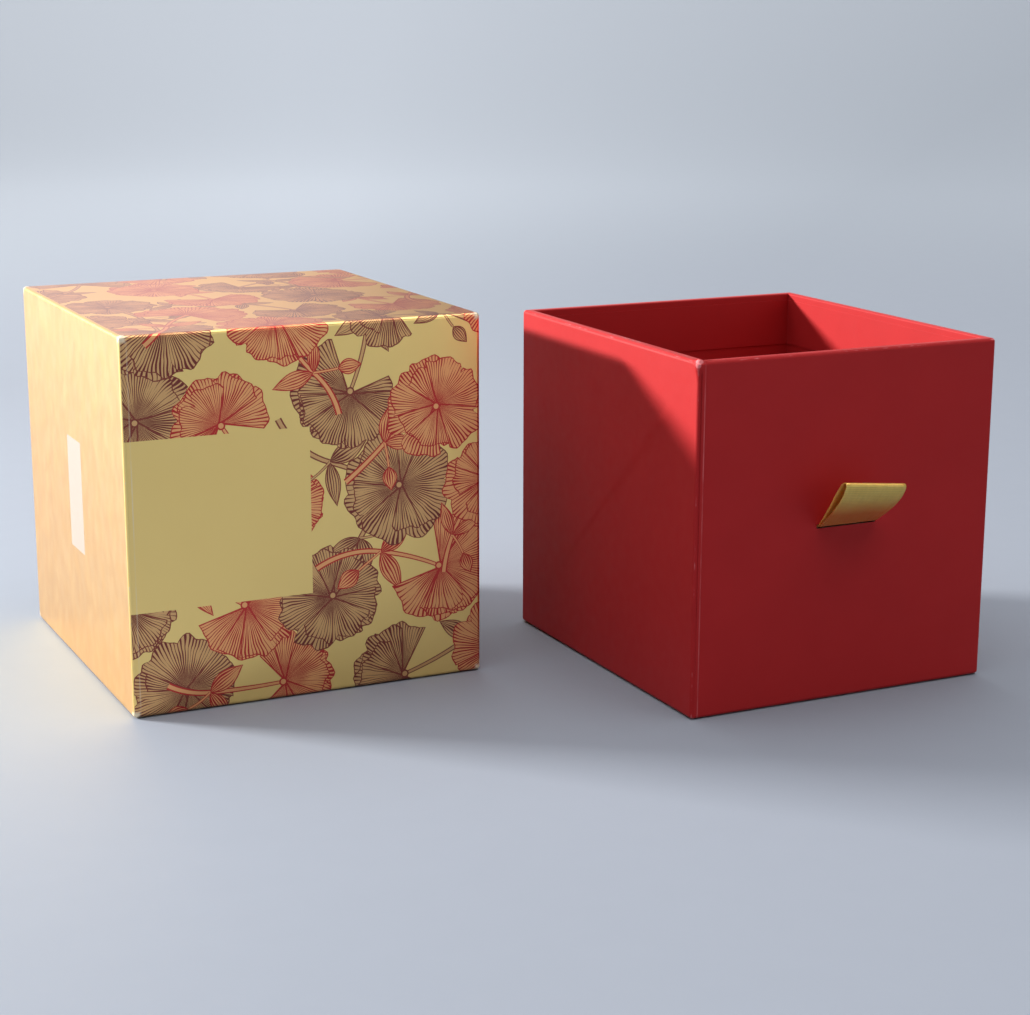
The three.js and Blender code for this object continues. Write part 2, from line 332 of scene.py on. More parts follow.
def papered_box(low, high, open_axis, wall, turn_in, under=0, radius=fold_radius):
    """One face of a sheet folded over a box: its outer panels, the rim of its open face and the margin
    that is turned in there. It lies `under` the sheet's outer face."""
    bm = bmesh.new()
    skin_low, skin_high = low + Vector((under,) * 3), high - Vector((under,) * 3)
    bmesh.ops.create_cube(bm, size=1)
    bmesh.ops.scale(bm, vec=skin_high - skin_low, verts=bm.verts)
    bmesh.ops.translate(bm, vec=(skin_high + skin_low) / 2, verts=bm.verts)
    bmesh.ops.bevel(bm, geom=bm.edges[:], offset=radius - under, offset_type="OFFSET", affect="EDGES",
                    segments=fold_steps, profile=0.5, material=-1)
    mouth = max(bm.faces, key=lambda face: face.calc_center_median()[open_axis])
    bmesh.ops.inset_individual(bm, faces=[mouth], thickness=wall - radius - under, use_even_offset=True)
    rim_edges = mouth.edges[:]
    margin = bmesh.ops.extrude_discrete_faces(bm, faces=[mouth])["faces"][0]
    inwards = Vector()
    inwards[open_axis] = under - turn_in
    bmesh.ops.translate(bm, vec=inwards, verts=margin.verts)
    bmesh.ops.delete(bm, geom=[margin], context="FACES_ONLY")
    rim_edges = [edge for edge in rim_edges if edge.is_valid]
    bmesh.ops.bevel(bm, geom=rim_edges, offset=inner_fold_radius + under, offset_type="OFFSET",
                    affect="EDGES", segments=inner_fold_steps, profile=0.5, material=-1)
    if under:
        bmesh.ops.reverse_faces(bm, faces=bm.faces)
    return bm


def round_normals(piece, low, high, radius):
    """Shades the folds of a wrapped box as true rounds between flat panels."""
    mesh = piece.data
    core_low = (low + Vector((radius,) * 3)) * MM
    core_high = (high - Vector((radius,) * 3)) * MM
    reach = radius * MM
    flat, sharp = 0.9999, math.radians(35)
    slack, outward = 0.02, 0.9
    mesh.shade_smooth()
    mesh.set_sharp_from_angle(angle=sharp)
    smooth = [corner.vector.copy() for corner in mesh.corner_normals]
    normals = []
    for polygon in mesh.polygons:
        for loop, index in zip(polygon.loop_indices, polygon.vertices):
            place = mesh.vertices[index].co
            nearest = Vector(max(a, min(c, b)) for a, b, c in zip(core_low, core_high, place))
            out = place - nearest
            if abs(out.length - reach) < slack * reach and out.normalized().dot(polygon.normal) > outward:
                normals.append(out.normalized())
            elif max(abs(part) for part in polygon.normal) > flat:
                normals.append(polygon.normal.copy())
            else:
                normals.append(smooth[loop])
    mesh.normals_split_custom_set(normals)


sleeve_low, sleeve_high = outside_of("sleeve_wrap")
half_width = (sleeve_high.x - sleeve_low.x) / 2
half_height = (sleeve_high.z - sleeve_low.z) / 2
sleeve_depth = sleeve_high.y - sleeve_low.y
sleeve_middle = (sleeve_high + sleeve_low) / 2
wall_depth = 2.55
mouth_turn_in = 18

# The flat sheet. Its origin is the middle of the front panel, u runs to the right and v runs up.
flat_width = half_width - fold_radius
flat_height = half_height - fold_radius
fold_length = fold_radius * math.pi / 2
side_length = sleeve_depth - 2 * fold_radius
sheet_reach = flat_width + fold_length + side_length
sheet_span = 2.02 * sheet_reach
seam_tolerance = 1e-3
flat_angle = math.radians(1)
sag_allowance = 1.1
facet_sag = sag_allowance * fold_radius * (1 - math.cos(math.pi / 4 / fold_steps))


# The edge of the sheet's underlap shows through the front, beside its left fold
ridge_inset = 1.9
ridge_half_width = 0.16
ridge_height = 0.05


def past_fold(distance, flat):
    """How far out and how far back a point of the sheet lies once it has gone over the fold."""
    over = distance - flat
    if over <= 0:
        return distance, 0
    if over >= fold_length:
        return flat + fold_radius, fold_radius + over - fold_length
    angle = over / fold_radius
    return flat + fold_radius * math.sin(angle), fold_radius * (1 - math.cos(angle))


def folded(u, v):
    """Where a point of the flat sheet ends up on the sleeve."""
    out_u, back_u = past_fold(abs(u), flat_width)
    out_v, back_v = past_fold(abs(v), flat_height)
    x = math.copysign(out_u, u)
    if abs(v) < flat_height + seam_tolerance:
        from_ridge = abs(u + half_width - ridge_inset) / ridge_half_width
        y, z = back_u - ridge_height * max(0, 1 - from_ridge), v
    else:
        y, z = back_v, math.copysign(out_v - back_u, v)
    return Vector((sleeve_middle.x + x, sleeve_low.y + y, sleeve_middle.z + z))


# The print. A leaf is an outline on the sheet, kept with its root and heading, which its veins follow.
BARE, SOLID, FILLED, FAN, BLADE, PATCH = range(6)
RED, PLUM = 0, 1
fan_spread = math.radians(62)
fan_foot_share = 2.2
fan_droop_share = 0.1
cleft_width_share = 0.07
fan_veins = (12, 13, 14, 15)
blade_veins = 3
outline_width = 0.28
print_shapes = []


def turned(points, root, heading):
    """Outline points, drawn along +X from a stalk at the origin, set down on the sheet."""
    c, s = math.cos(heading), math.sin(heading)
    return [(root[0] + x * c - y * s, root[1] + x * s + y * c) for x, y in points]


def print_shape(points, kind, ink, root=(0, 0), heading=0, size=(1, 1), lines=0, seed=0):
    print_shapes.append((points, kind, ink, root, heading, size, lines, seed))


def fan_leaf(chance, root, heading, reach, ink):
    """A fan-shaped leaf: straight sides, a ruffled edge with a cleft, and veins that spread from its root."""
    edge_points = 30
    phase = chance.uniform(0, math.tau)
    ripple = chance.uniform(0.025, 0.045)
    cleft = chance.uniform(0.1, 0.26)
    spread = fan_spread * chance.uniform(0.8, 1.05)

    def outline(by):
        points = [(by * fan_foot_share, 0)]
        for step in range(edge_points + 1):
            across = 2 * step / edge_points - 1
            edge = 1 - fan_droop_share * across ** 2 - cleft * math.exp(-(across / cleft_width_share) ** 2)
            edge += ripple * math.sin(11 * across + phase) + 0.4 * ripple * math.sin(23 * across + 2 * phase)
            distance = reach * edge - by
            angle = across * (spread - by / distance)
            points.append((distance * math.cos(angle), distance * math.sin(angle)))
        return turned(points, root, heading)

    print_shape(outline(0), SOLID, ink)
    print_shape(outline(outline_width), FAN, ink, root, heading, (reach, spread),
                chance.choice(fan_veins), chance.random())


def blade_leaf(chance, root, heading, reach, width, ink):
    """A pointed leaf or bud with veins along it."""
    side_points = 12

    def outline(by):
        upper, lower = [], []
        for step in range(side_points + 1):
            share = step / side_points
            half = max(width * math.sin(math.pi * share ** 0.85) - by, 0.01)
            x = by + share * (reach - 2 * by)
            upper.append((x, half))
            lower.append((x, -half))
        return turned(lower + upper[::-1], root, heading)

    print_shape(outline(0), SOLID, ink)
    print_shape(outline(outline_width), BLADE, ink, root, heading, (reach, width),
                blade_veins, chance.random())


def stalk(start, heading, length, bend, widths, ink):
    """A curved stalk, from its first width to its last. Returns the far end and the heading there."""
    steps = 10
    core = 0.55
    spine = []
    place = Vector(start)
    for step in range(steps + 1):
        share = step / steps
        angle = heading + bend * share
        half = (widths[0] + (widths[1] - widths[0]) * share) / 2
        spine.append((place.copy(), Vector((-math.sin(angle), math.cos(angle))) * half))
        place += Vector((math.cos(angle), math.sin(angle))) * (length / steps)
    for share, kind in ((1, SOLID), (core, FILLED)):
        right = [tuple(p - a * share) for p, a in spine]
        left = [tuple(p + a * share) for p, a in spine]
        print_shape(right + left[::-1], kind, ink)
    return tuple(spine[-1][0]), heading + bend


def disc(centre, radius, kind, ink):
    corners = 10
    print_shape(turned([(radius * math.cos(math.tau * i / corners), radius * math.sin(math.tau * i / corners))
                        for i in range(corners)], centre, 0), kind, ink)


def spray(chance, place, heading, size, ink):
    """A whorl of fan leaves, open or from the side, on a curved woody stalk with two blades and a bud."""
    joint, joint_heading = stalk(place, heading + math.pi, size * chance.uniform(1.1, 1.5),
                                 chance.uniform(-0.5, 0.5), stalk_widths, ink)
    stalk(joint, joint_heading, size * chance.uniform(0.8, 1.3),
          chance.uniform(-0.9, 0.9), branch_widths, ink)
    for side in (-1, 1):
        blade_leaf(chance, joint, joint_heading + side * chance.uniform(0.6, 1.1) + math.pi,
                   size * chance.uniform(0.65, 0.9), size * chance.uniform(0.13, 0.19), ink)
    bud_heading = joint_heading + chance.choice((-1, 1)) * chance.uniform(0.7, 1.2)
    bud_foot, bud_heading = stalk(joint, bud_heading, size * bud_share, chance.uniform(-0.6, 0.6),
                                  bud_stalk_widths, ink)
    blade_leaf(chance, bud_foot, bud_heading, size * bud_share, size * bud_width_share, ink)
    for turn in open_whorl if chance.random() < open_share else side_whorl:
        leaf_heading = heading + turn + chance.uniform(-0.16, 0.16)
        root = (place[0] + eye_radius * math.cos(leaf_heading),
                place[1] + eye_radius * math.sin(leaf_heading))
        fan_leaf(chance, root, leaf_heading, size * chance.uniform(0.8, 1.08), ink)
    disc(place, boss_radius, SOLID, ink)
    disc(place, boss_core_radius, FILLED, ink)


def layout():
    """Sprays over the front, the top and the right side, in jittered rows, red and plum by turns."""
    chance = random.Random(layout_seed)
    reach = int(sheet_reach / row_step) + 1
    for row in range(-2, reach + 1):
        for column in range(-2, reach + 1):
            u = (column + 0.5 * (row % 2)) * column_step + chance.uniform(-jitter, jitter) + first_spray[0]
            v = row * row_step + chance.uniform(-jitter, jitter) + first_spray[1]
            ink = RED if (column + row) % 2 == 0 else PLUM
            heading = chance.uniform(0, math.tau)
            size = chance.uniform(*spray_sizes)
            on_front_or_side = abs(v) < half_height + size and u > -half_width - left_reach
            on_top = abs(u) < half_width + size and v > 0
            if on_front_or_side or on_top:
                spray(chance, (u, v), heading, size, ink)


layout_seed = 11
open_share = 0.5
stalk_widths, branch_widths, bud_stalk_widths = (1.1, 1.5), (1.5, 1.9), (0.8, 0.7)
bud_share, bud_width_share = 0.5, 0.16
open_whorl = (-2.75, 2.7, -1.95, 1.9, -1.15, 1.1, -0.35, 0.45)
side_whorl = (-1.25, 1.2, -0.75, 0.8, 0.05, -0.4, 0.42)
eye_radius, boss_radius, boss_core_radius = 0.4, 1.2, 0.75
column_step, row_step = 29.0, 24.5
jitter = 3.5
left_reach = 2
spray_sizes = (12, 15.5)
first_spray = (-6, 4)
layout()

# What covers the print: the front's bare panel, the bare left side, and the plain white patch on that side
front_panel = ((-half_width - 4, -22.0), (0.4, 23.0))
white_patch = ((-half_width - 57.5, -16.6), (-half_width - 43.4, 14.6))
overrun, front_lap = 1, 0.3
bare_side = ((-sheet_reach - overrun, -flat_height - overrun),
             (-half_width + front_lap, flat_height + overrun))


def rectangle(low, high):
    return [(low[0], low[1]), (high[0], low[1]), (high[0], high[1]), (low[0], high[1])]


print_shape(rectangle(*front_panel), BARE, RED)
print_shape(rectangle(*bare_side), BARE, RED)
print_shape(rectangle(*white_patch), PATCH, RED)


def printed_sheet():
    """The flat sheet, cut along the outlines of its print and creased at its folds, then folded over the
    sleeve. The shapes' numbers stand in for materials while the cuts that don't show are taken out again."""
    top_start = flat_height + fold_length
    folded_width = flat_width + fold_length
    end = top_start + side_length
    panels = [
        rectangle((-sheet_reach, -flat_height), (sheet_reach, flat_height)),
        rectangle((-flat_width, flat_height), (flat_width, top_start)),
        rectangle((-folded_width, top_start), (folded_width, end)),
        rectangle((-flat_width, -top_start), (flat_width, -flat_height)),
        rectangle((-folded_width, -end), (folded_width, -top_start)),
    ]
    points, edges, faces = [], [], []
    for outline in panels + [shape[0] for shape in print_shapes]:
        faces.append(list(range(len(points), len(points) + len(outline))))
        points.extend(outline)
    for step in range(fold_steps + 1):
        over = fold_length * step / fold_steps
        for side in (-1, 1):
            u, v = side * (flat_width + over), side * (flat_height + over)
            for line in (((u, -end), (u, end)), ((-flat_width, v), (flat_width, v))):
                edges.append((len(points), len(points) + 1))
                points.extend(line)
    for step in (-1, 0, 1):
        u = ridge_inset - half_width + step * ridge_half_width
        edges.append((len(points), len(points) + 1))
        points.extend(((u, -flat_height), (u, flat_height)))
    inside_only, tolerance = 1, 1e-4
    cut = delaunay_2d_cdt([Vector(p) for p in points], edges, faces, inside_only, tolerance)
    places, _, triangles, _, _, sources = cut
    bm = bmesh.new()
    sheet_uv = bm.loops.layers.uv.new("OFBake")
    leaf_root = bm.faces.layers.float_vector.new("leaf_root")
    leaf_form = bm.faces.layers.float_vector.new("leaf_form")
    leaf_ink = bm.faces.layers.float_vector.new("leaf_ink")
    verts = [bm.verts.new(folded(*place)) for place in places]
    for triangle, owners in zip(triangles, sources):
        if not owners or min(owners) >= len(panels):
            continue
        face = bm.faces.new([verts[i] for i in triangle])
        for loop, i in zip(face.loops, triangle):
            loop[sheet_uv].uv = (0.5 + places[i].x / sheet_span, 0.5 + places[i].y / sheet_span)
        if max(owners) >= len(panels):
            _, kind, ink, root, heading, size, lines, seed = print_shapes[max(owners) - len(panels)]
            face[leaf_root] = Vector((root[0], root[1], heading))
            face[leaf_form] = Vector((size[0], size[1], lines))
            face[leaf_ink] = Vector((kind, ink, seed))
            face.material_index = max(owners)
    loose = [vert for vert in bm.verts if not vert.link_faces]
    bmesh.ops.delete(bm, geom=loose, context="VERTS")
    bmesh.ops.dissolve_limit(bm, angle_limit=flat_angle, verts=bm.verts, edges=bm.edges, delimit={"MATERIAL"})
    for face in bm.faces:
        face.material_index = 0
    return bm


def add_faces(bm, other):
    """Moves another bmesh's faces into this one."""
    holder = bpy.data.meshes.new("holder")
    other.to_mesh(holder)
    other.free()
    bm.from_mesh(holder)
    bpy.data.meshes.remove(holder)


def close_seams(bm):
    """Joins edge to edge the parts of a sheet whose points along a seam don't match."""
    bmesh.ops.remove_doubles(bm, verts=bm.verts, dist=seam_tolerance)
    open_edges = [edge for edge in bm.edges if edge.is_boundary]
    open_verts = sorted({vert for edge in open_edges for vert in edge.verts}, key=lambda vert: vert.index)
    places = np.array([vert.co for vert in open_verts])
    for edge in open_edges:
        start, along = np.array(edge.verts[0].co), np.array(edge.verts[1].co - edge.verts[0].co)
        shares = (places - start) @ along / (along @ along)
        misses = np.linalg.norm(start + shares[:, None] * along - places, axis=1)
        slack = seam_tolerance / np.linalg.norm(along)
        between = np.flatnonzero((misses < facet_sag) & (shares > slack) & (shares < 1 - slack))
        end = edge.verts[1]
        for index in sorted(between, key=lambda i: -shares[i]):
            rest = np.array(end.co) - start
            share = 1 - (places[index] - start) @ rest / (rest @ rest)
            _, end = bmesh.utils.edge_split(edge, end, float(share))
            end.co = places[index]
    bmesh.ops.remove_doubles(bm, verts=bm.verts, dist=seam_tolerance)


def plus(tree, first, second):
    return calc(tree, "ADD", first, second)


def minus(tree, first, second):
    return calc(tree, "SUBTRACT", first, second)


def gap(tree, first, second):
    """How far apart two values are."""
    return calc(tree, "ABSOLUTE", minus(tree, first, second))


def worn_and_highlit_folds(tree, low, high, depth, corner, rubbed):
    """Where the folds of a box are paled: rubbed through in patches, and most near its corners, which are
    bruised.
    The even pale band all along them, by the share `rubbed`, is a painted highlight of the rounded folds."""
    place = parts_of(tree, on_piece(tree))
    insets = []
    for axis in range(3):
        middle, half = (low[axis] + high[axis]) / 2 * MM, (high[axis] - low[axis]) / 2 * MM
        insets.append(minus(tree, half, gap(tree, place[axis], middle)))
    nearer, farther = calc(tree, "MINIMUM", *insets[:2]), calc(tree, "MAXIMUM", *insets[:2])
    from_fold = calc(tree, "MAXIMUM", nearer, calc(tree, "MINIMUM", farther, insets[2]))
    from_corner = calc(tree, "MAXIMUM", farther, insets[2])
    patches = ranged(tree, grain(tree, 330, detail=4, seed=(1, 5, 9)), 0.5, 0.75, rubbed, 1)
    rub = plus(tree, patches, ranged(tree, from_corner, 0, corner * MM, 1.3, 0))
    edge = ranged(tree, from_fold, 0, depth * MM, 1, 0)
    bruise = ranged(tree, from_corner, 0.25 * corner * MM, 0.4 * corner * MM, 0.9, 0)
    rubbed_and_highlit = ranged(tree, times(tree, rub, edge), 0.25, 0.6, 0, 1)
    return calc(tree, "MAXIMUM", bruise, rubbed_and_highlit)


def painted_ridge_highlight(tree, low):
    """The ridge beside the front's left fold, painted pale in stretches: a painted highlight along its crest.
    """
    place = parts_of(tree, on_piece(tree))
    aside = gap(tree, place[0], (low.x + ridge_inset) * MM)
    on_ridge = ranged(tree, aside, 0.1 * MM, 0.22 * MM, 1, 0)
    on_front = ranged(tree, place[1], (low.y + 0.3) * MM, (low.y + 0.5) * MM, 1, 0)
    stretches = ranged(tree, grain(tree, 120, detail=4, seed=(4, 4, 1)), 0.38, 0.62, 0.25, 1)
    return times(tree, times(tree, on_ridge, on_front), stretches)


foil_fold_mark_depth = 0.7
foil_corner_wear = 5
foil_fold_highlight_share = 0


def foil_paper():
    """Gold foil paper under two transparent inks. The veins run out from each leaf's root and heading."""
    material, tree, shader = new_finish("printed_foil_paper", Specular_Tint=(1, 0.60, 0.54, 1),
                                        Coat_Weight=0.8, Coat_Roughness=0.28, Coat_Tint=(1, 0.94, 0.82, 1))
    root, form, ink_values = [parts_of(tree, add(tree, "Attribute", attribute_name=name).outputs["Vector"])
                              for name in ("leaf_root", "leaf_form", "leaf_ink")]
    root_u, root_v, heading = root
    reach, width, lines = form
    kind, ink, seed = ink_values

    sheet = parts_of(tree, add(tree, "UVMap", uv_map="OFBake").outputs[0])
    u = times(tree, minus(tree, sheet[0], 0.5), sheet_span)
    v = times(tree, minus(tree, sheet[1], 0.5), sheet_span)
    du, dv = minus(tree, u, root_u), minus(tree, v, root_v)
    c, s = calc(tree, "COSINE", heading), calc(tree, "SINE", heading)
    along = plus(tree, times(tree, du, c), times(tree, dv, s))
    aside = minus(tree, times(tree, dv, c), times(tree, du, s))

    squares = plus(tree, times(tree, along, along), times(tree, aside, aside))
    fan_out = calc(tree, "DIVIDE", calc(tree, "SQRT", squares), reach)
    fan_across = calc(tree, "DIVIDE", calc(tree, "ARCTAN2", aside, along), width)
    blade_out = calc(tree, "DIVIDE", along, reach)
    swell = calc(tree, "SINE", times(tree, calc(tree, "POWER", blade_out, 0.85), math.pi))
    blade_across = calc(tree, "DIVIDE", aside, times(tree, swell, width))
    is_blade = calc(tree, "GREATER_THAN", kind, BLADE - 0.5)
    across = ranged(tree, is_blade, 0, 1, fan_across, blade_across)
    out = ranged(tree, is_blade, 0, 1, fan_out, blade_out)

    sway_place = add(tree, "CombineXYZ", {0: u, 1: v, 2: seed}).outputs[0]
    sway = add(tree, "TexNoise", {"Vector": sway_place, "Scale": 0.16, "Detail": 1}).outputs["Fac"]
    bent = times(tree, minus(tree, sway, 0.5), 2.2)
    phase = plus(tree, times(tree, across, lines), times(tree, bent, out))
    nearness = times(tree, gap(tree, calc(tree, "FRACT", phase), 0.5), 2)
    which_vein = {0: calc(tree, "ROUND", phase), 1: times(tree, seed, 97)}
    which = add(tree, "CombineXYZ", which_vein).outputs[0]
    dice = add(tree, "TexWhiteNoise", {"Vector": which}).outputs["Color"]
    luck = add(tree, "SeparateColor", {0: dice}).outputs
    root_reach = ranged(tree, luck[0], 0, 1, 0.5, 1.35)
    from_root = ranged(tree, calc(tree, "DIVIDE", out, root_reach), 0, 1, 0.80, 0.12)
    from_edge = ranged(tree, plus(tree, out, ranged(tree, luck[1], 0, 1, -0.4, 0)), 0.3, 1, 0, 0.62)
    shading = ranged(tree, sway, 0.35, 0.65, -0.14, 0.16)
    line_width = plus(tree, calc(tree, "MAXIMUM", from_root, from_edge), shading)
    vein = calc(tree, "GREATER_THAN", nearness, minus(tree, 1, line_width))

    before_patch = calc(tree, "LESS_THAN", kind, PATCH - 0.5)
    is_cut = times(tree, calc(tree, "GREATER_THAN", kind, FAN - 0.5), before_patch)
    is_solid = calc(tree, "COMPARE", kind, SOLID, 0.5)
    is_tinted = times(tree, calc(tree, "GREATER_THAN", kind, FILLED - 0.5), before_patch)
    inked = calc(tree, "MAXIMUM", is_solid, times(tree, is_cut, vein))
    is_patch = calc(tree, "GREATER_THAN", kind, PATCH - 0.5)
    # The ink stops where the top and the base fold over to the bare left side.
    over_front = calc(tree, "LESS_THAN", calc(tree, "ABSOLUTE", v), flat_height)
    printable = calc(tree, "MAXIMUM", over_front, calc(tree, "GREATER_THAN", u, -flat_width))
    inked = times(tree, inked, printable)
    is_tinted = times(tree, is_tinted, printable)

    gold = blended(tree, grain(tree, 60, detail=2), (0.95, 0.715, 0.262, 1), (0.98, 0.75, 0.28, 1))
    # The bare left side is painted in short upright streaks, some paler and some deeper than the gold: a
    # painted glare off its foil.
    painted_glare_streaks = ranged(tree, grain(tree, 300, detail=5, stretch=(1, 1, 0.5), seed=(8, 2, 6)), 0.38, 0.68, 0, 1)
    glare_streaked_gold = blended(tree, painted_glare_streaks, (0.95, 0.695, 0.245, 1), (0.99, 0.77, 0.33, 1))
    gold = blended(tree, calc(tree, "LESS_THAN", u, -half_width), gold, glare_streaked_gold)
    tint = blended(tree, ink, (0.95, 0.62, 0.70, 1), (0.76, 0.60, 0.70, 1))
    line = blended(tree, ink, (0.58, 0.035, 0.085, 1), (0.26, 0.060, 0.10, 1))
    tinted = multiplied(tree, is_tinted, gold, tint)
    printed = multiplied(tree, inked, tinted, line)
    covered = blended(tree, is_patch, printed, linear(178, 168, 160))
    # The ridge's pale stretches are a painted highlight; the pale folds and corners are wear.
    ridge = times(tree, painted_ridge_highlight(tree, sleeve_low), 0.55)
    folds = worn_and_highlit_folds(tree, sleeve_low, sleeve_high, foil_fold_mark_depth, foil_corner_wear, foil_fold_highlight_share)
    worn = calc(tree, "MAXIMUM", folds, ridge)
    tree.links.new(blended(tree, worn, covered, linear(238, 228, 206)), shader.inputs["Base Color"])
    metal = calc(tree, "MINIMUM", ranged(tree, is_patch, 0, 1, 1.0, 0.2), ranged(tree, worn, 0, 1, 1.0, 0.2))
    tree.links.new(metal, shader.inputs["Metallic"])
    streaks = grain(tree, 130, detail=4, stretch=(1, 1, 0.3))
    scuffs = grain(tree, 420, detail=5, stretch=(1, 0.6, 0.4), seed=(2, 7, 4))
    tree.links.new(ranged(tree, scuffs, 0.3, 0.7, 0.285, 0.325), shader.inputs["Roughness"])
    laid = raise_grain(tree, shader, streaks, 0.075 * MM)
    raise_grain(tree, shader, scuffs, 0.03 * MM, under=laid)
    return material


def printed_wrap():
    """The printed sheet, with the plain corners, rim and turned-in margin of the folded box round it."""
    bm = papered_box(sleeve_low, sleeve_high, 1, wall_depth, mouth_turn_in)
    start_of_rim = sleeve_high.y - fold_radius
    covered = []
    for face in bm.faces:
        x, y, z = face.calc_center_median() - sleeve_middle
        aside, above = abs(x) / flat_width, abs(z) / flat_height
        is_corner = aside > 1 and above > 1 and y < fold_radius - sleeve_depth / 2
        is_margin = abs(x) < half_width - fold_radius and abs(z) < half_height - fold_radius and y > 0
        if y + sleeve_middle.y < start_of_rim and not is_corner and not is_margin:
            covered.append(face)
    bmesh.ops.delete(bm, geom=covered, context="FACES")
    sheet = printed_sheet()
    add_faces(sheet, bm)
    close_seams(sheet)
    add_faces(sheet, papered_box(sleeve_low, sleeve_high, 1, wall_depth, mouth_turn_in, under=paper))
    bmesh.ops.bridge_loops(sheet, edges=[edge for edge in sheet.edges if edge.is_boundary])
    return sheet


def finish_wrap(name, bm, material, low, high, radius):
    """Takes a finished sheet from millimetres to metres and shades its folds."""
    bmesh.ops.scale(bm, vec=Vector((MM, MM, MM)), verts=bm.verts)
    piece = new_piece(name, bm, material)
    round_normals(piece, low, high, radius)
    return piece


foil = foil_paper()
sleeve_wrap = finish_wrap("sleeve_printed_wrap", printed_wrap(), foil, sleeve_low, sleeve_high, fold_radius)
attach(sleeve_wrap, "sleeve")
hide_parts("sleeve_wrap")

# Sleeve base sheet. A plain piece of the same foil paper is pasted under the sleeve.
# It covers the seam of the wrap.
dress(["sleeve_base_sheet"], foil)


# Sleeve lining. The inside is papered white: a tube that laps over the turned-in margin, and a patch on
# the closed end. It is a plain uncoated sheet with a fine tooth.
def white_paper():
    material, tree, shader = new_finish("white_lining_paper", Roughness=0.85, Specular_IOR_Level=0.2)
    tooth = grain(tree, 1300, detail=4)
    cloud = grain(tree, 35, detail=2)
    shade = blended(tree, cloud, linear(186, 182, 173), linear(198, 195, 187))
    tree.links.new(multiplied(tree, tooth, shade, (0.96, 0.955, 0.94, 1)), shader.inputs["Base Color"])
    raise_grain(tree, shader, tooth, 0.02 * MM)
    return material


dress(["sleeve_lining", "sleeve_end_lining"], white_paper())

# Drawer wrap. One sheet of red laminated paper goes round the walls, over the rim and under the base,
# with a slit for the ribbon in front. The sheet's own edge shows as a fine ridge beside the front's
# left fold, and the paper is tucked into a small knuckle at the top of that fold.
red_fold_radius = 1.0
rim_turn_in = 15
under_margin = 12
straight_on = 0.999
slit_level = 47.85
slit_half_width = 9.2
slit_half_height = 0.55
knuckle_height = 0.9
knuckle_reach = 3.4
knuckle_stretch = 0.55
knuckle_steps = 6
knuckle_ripple_share = 0.25
knuckle_ripples = 7

drawer_low, drawer_high = outside_of("drawer_wrap")
drawer_middle = (drawer_low + drawer_high) / 2


def cut_faces(bm, faces, place, across):
    """Cuts some faces of a sheet along one plane."""
    parts = faces + [e for face in faces for e in face.edges] + [v for face in faces for v in face.verts]
    bmesh.ops.bisect_plane(bm, geom=list(dict.fromkeys(parts)), plane_co=place, plane_no=across)


def red_skin(under):
    """One face of the red sheet, with its rim, its inner margin and the margin turned under the base."""
    bm = papered_box(drawer_low, drawer_high, 2, wall_depth, rim_turn_in, under, red_fold_radius)
    side = 1 if not under else -1
    base = [face for face in bm.faces if face.normal.z * side < -straight_on]
    base = min(base, key=lambda face: face.calc_center_median().z)
    margin = under_margin - red_fold_radius
    bmesh.ops.inset_individual(bm, faces=[base], thickness=margin, use_even_offset=True)
    bmesh.ops.delete(bm, geom=[base], context="FACES_ONLY")
    return bm


def cut_slit(bm, facing):
    """Cuts the ribbon's slit through the front panel of one face of the sheet."""
    centre = Vector((drawer_middle.x, drawer_low.y, slit_level))
    half = Vector((slit_half_width, 0, slit_half_height))
    cuts = [(Vector((side * half.x, 0, 0)), Vector((1, 0, 0))) for side in (-1, 1)]
    cuts += [(Vector((0, 0, side * half.z)), Vector((0, 0, 1))) for side in (-1, 1)]
    for offset, across in cuts:
        front = [face for face in bm.faces if face.normal.y * facing < -straight_on]
        nearest = min(face.calc_center_median().y for face in front)
        front = [face for face in front if face.calc_center_median().y < nearest + paper]
        cut_faces(bm, front, centre + offset, across)
    hole = [face for face in bm.faces if face.normal.y * facing < -straight_on
            and all(abs(d) < h for d, h in zip((face.calc_center_median() - centre).xz, half.xz))]
    bmesh.ops.delete(bm, geom=hole, context="FACES")


def raise_ridge(bm):
    """The edge of the sheet under the front panel's left margin."""
    line = drawer_low.x + ridge_inset
    for step in (-1, 0, 1):
        front = [face for face in bm.faces if face.normal.y < -straight_on]
        cut_faces(bm, front, Vector((line + step * ridge_half_width, 0, 0)), Vector((1, 0, 0)))
    for vert in bm.verts:
        if abs(vert.co.x - line) < ridge_half_width / 2 and vert.co.y < drawer_low.y + red_fold_radius / 2:
            vert.co.y -= ridge_height


def raise_knuckle(bm):
    """The tucked paper at the top of the front's left fold."""
    corner = Vector((drawer_low.x, drawer_low.y, drawer_high.z))
    core = corner + Vector((red_fold_radius, red_fold_radius, -red_fold_radius))
    for step in range(1, knuckle_steps + 1):
        inset = red_fold_radius + step * (knuckle_reach / knuckle_stretch - red_fold_radius) / knuckle_steps
        for axis in range(3):
            inwards = Vector((inset, inset, -inset))
            folds = [face for face in bm.faces if max(abs(part) for part in face.normal) < straight_on
                     and min(abs(part) for part in face.normal) < 1 - straight_on
                     and all(abs(d) < red_fold_radius + seam_tolerance or i == axis
                             for i, d in enumerate(nearest_point(face, corner) - corner))]
            across = Vector()
            across[axis] = 1
            cut_faces(bm, folds, corner + inwards, across)
    for vert in bm.verts:
        offset = vert.co - corner
        away = Vector((offset.x, offset.y, knuckle_stretch * offset.z)).length
        if away < knuckle_reach:
            share = math.cos(math.pi / 2 * away / knuckle_reach) ** 2
            ripple = 1 - knuckle_ripple_share * (1 - math.cos(knuckle_ripples * offset.z))
            out = vert.co - core
            vert.co += out.normalized() * knuckle_height * share * ripple


def nearest_point(face, place):
    return min((vert.co for vert in face.verts), key=lambda co: (co - place).length)


